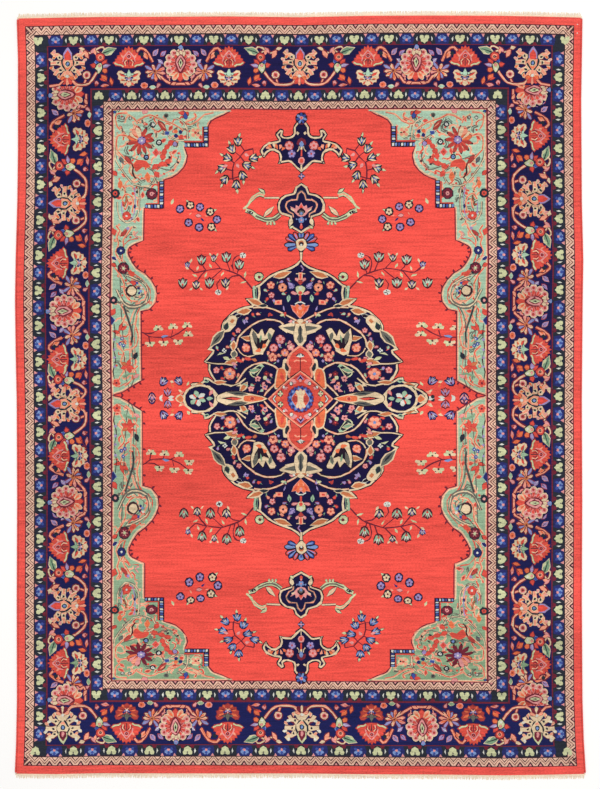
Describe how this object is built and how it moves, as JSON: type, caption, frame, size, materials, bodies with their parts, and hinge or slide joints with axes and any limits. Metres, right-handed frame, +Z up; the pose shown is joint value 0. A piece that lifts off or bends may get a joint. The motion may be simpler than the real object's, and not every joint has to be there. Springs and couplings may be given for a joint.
{
  "type": "hand-knotted wool carpet",
  "caption": "Flat rectangular hand-knotted wool pile carpet with a centre medallion, corner pieces, a wide border, overcast sides and short cotton fringes at both ends.",
  "frame": {"origin": "on the floor, under the middle of the carpet's box", "axes": "+X across the carpet, +Y along its warps to the far fringe, +Z up out of the pile"},
  "size_m": [2.688, 3.6268, 0.01],
  "materials": {
    "pile_wool": "dense cut wool pile, madder red field with indigo, sage, ivory, rose and sky blue design",
    "selvedge_wool": "overcast wool cord, madder red",
    "fringe_cotton": "undyed cotton web and fringe"
  },
  "bodies": {
    "root": {"pile_body": "pile_wool", "selvedge_left": "selvedge_wool", "selvedge_right": "selvedge_wool", "fringe_far": "fringe_cotton", "fringe_near": "fringe_cotton"}
  },
  "joints": []
}
